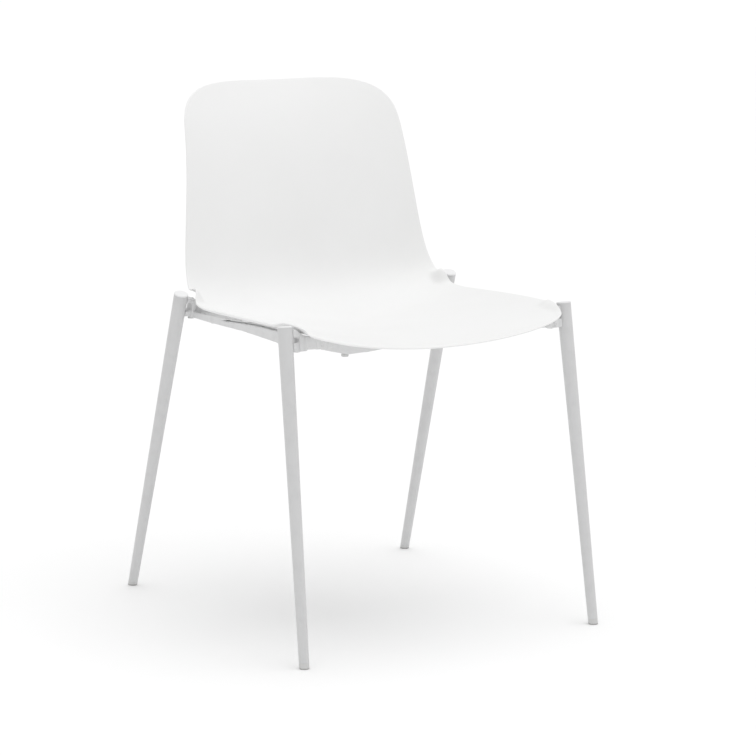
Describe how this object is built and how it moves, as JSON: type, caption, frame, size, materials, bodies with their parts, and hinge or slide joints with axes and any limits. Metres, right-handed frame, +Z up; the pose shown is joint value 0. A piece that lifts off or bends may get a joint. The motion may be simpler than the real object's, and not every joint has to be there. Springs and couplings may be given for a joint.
{
  "type": "stacking chair",
  "caption": "White stacking side chair: a one-piece dished plastic shell carried between four splayed, tapered tube legs on a cast underframe.",
  "frame": {"origin": "middle of the footprint, on the floor", "axes": "+Z up, -Y towards the front of the chair, +X to the right seen from the front; X is across the chair, which is symmetric about X=0"},
  "size_m": [0.5126, 0.5774, 0.7894],
  "materials": {
    "shell_plastic": "white moulded polypropylene, satin, finely textured",
    "cast_paint": "white polyester powder coat on cast aluminium",
    "tube_paint": "white polyester powder coat on steel tube",
    "cap_paint": "white powder coat on a pressed disc",
    "glide_plastic": "light grey nylon",
    "buffer_plastic": "light grey soft plastic",
    "screw_steel": "zinc plated",
    "insert_brass": "plain brass"
  },
  "bodies": {
    "root": {"seat_shell": "shell_plastic", "shell_inserts": "insert_brass", "shell_screws": "screw_steel", "front_cross_member": "cast_paint", "rear_cross_member": "cast_paint", "left_side_rail": "cast_paint", "right_side_rail": "cast_paint", "front_left_bracket": "cast_paint", "front_right_bracket": "cast_paint", "rear_left_bracket": "cast_paint", "rear_right_bracket": "cast_paint", "front_left_leg": "tube_paint", "front_right_leg": "tube_paint", "rear_left_leg": "tube_paint", "rear_right_leg": "tube_paint", "front_left_leg_cap": "cap_paint", "front_right_leg_cap": "cap_paint", "rear_left_leg_cap": "cap_paint", "rear_right_leg_cap": "cap_paint", "front_left_glide": "glide_plastic", "front_right_glide": "glide_plastic", "rear_left_glide": "glide_plastic", "rear_right_glide": "glide_plastic", "front_left_buffer": "buffer_plastic", "front_right_buffer": "buffer_plastic", "rear_left_buffer": "buffer_plastic", "rear_right_buffer": "buffer_plastic", "cross_member_screws": "screw_steel", "rail_screws": "screw_steel", "bracket_bumpers": "buffer_plastic"}
  },
  "joints": []
}
